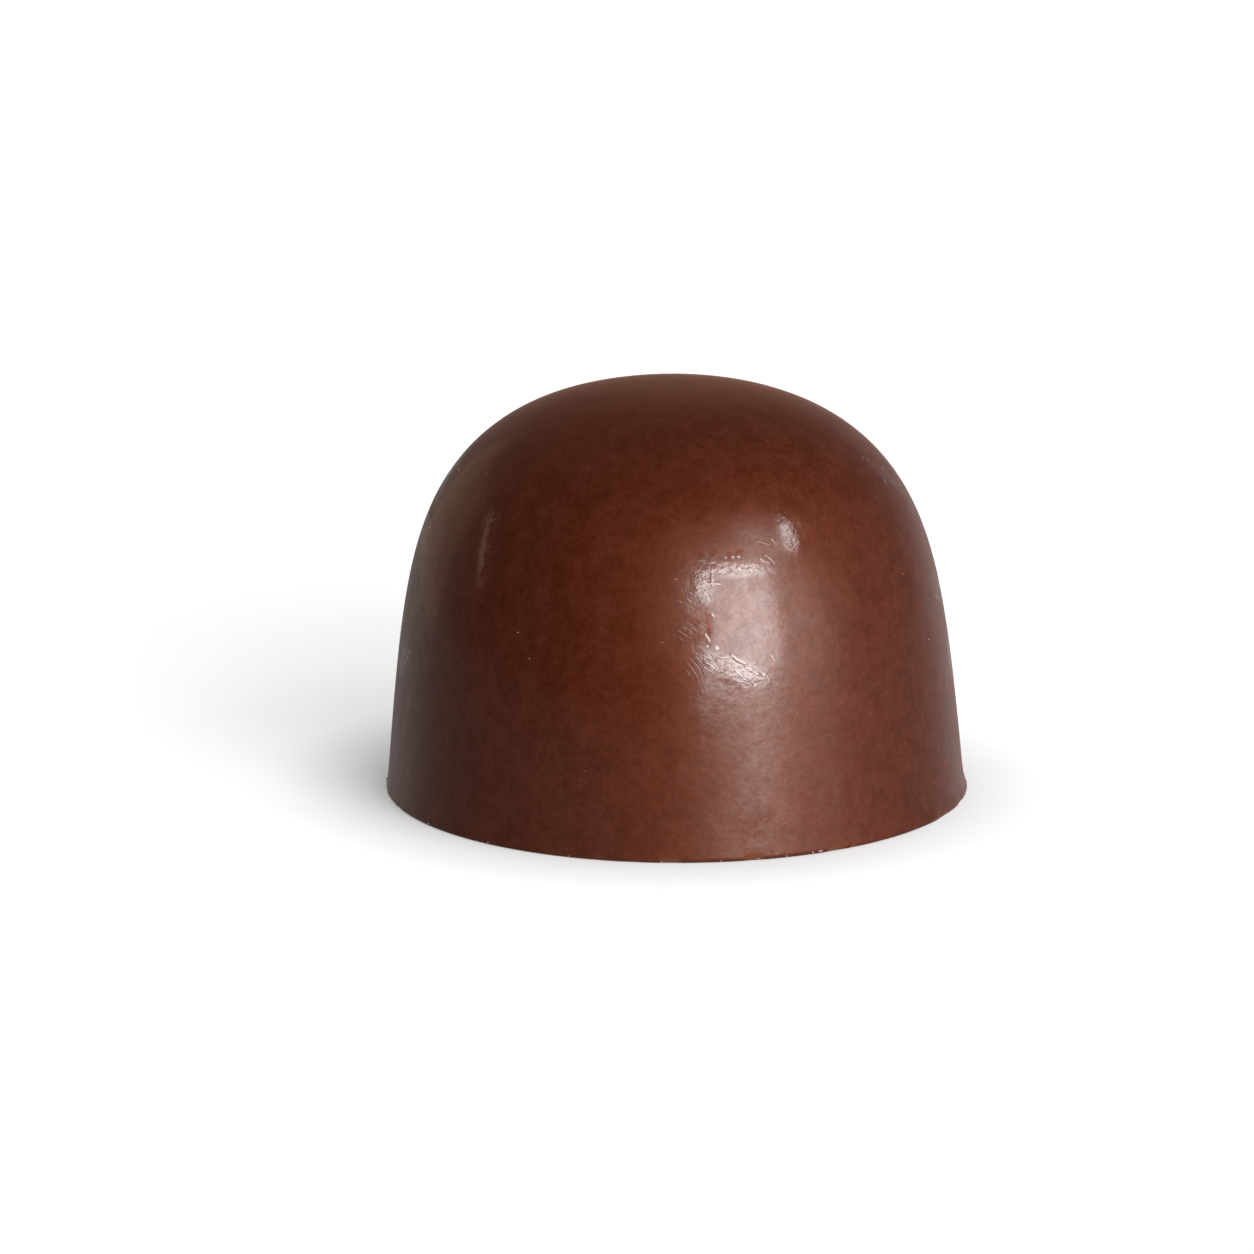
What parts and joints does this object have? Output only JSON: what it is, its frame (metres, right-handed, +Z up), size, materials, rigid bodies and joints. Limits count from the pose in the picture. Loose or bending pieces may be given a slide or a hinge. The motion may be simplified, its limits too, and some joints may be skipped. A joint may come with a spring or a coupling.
{
  "type": "chocolate praline",
  "caption": "Moulded dome of glossy brown chocolate with slightly tapering walls, a rounded crown and a flat base to stand on.",
  "frame": {"origin": "centre of the flat base, on the surface that the praline stands on", "axes": "+Z up through the crown, -Y towards the side shown, +X to its right"},
  "size_m": [0.0282, 0.028, 0.0197],
  "materials": {
    "chocolate": "glossy tempered chocolate, reddish brown, lightly scuffed"
  },
  "bodies": {
    "root": {"praline": "chocolate"}
  },
  "joints": []
}
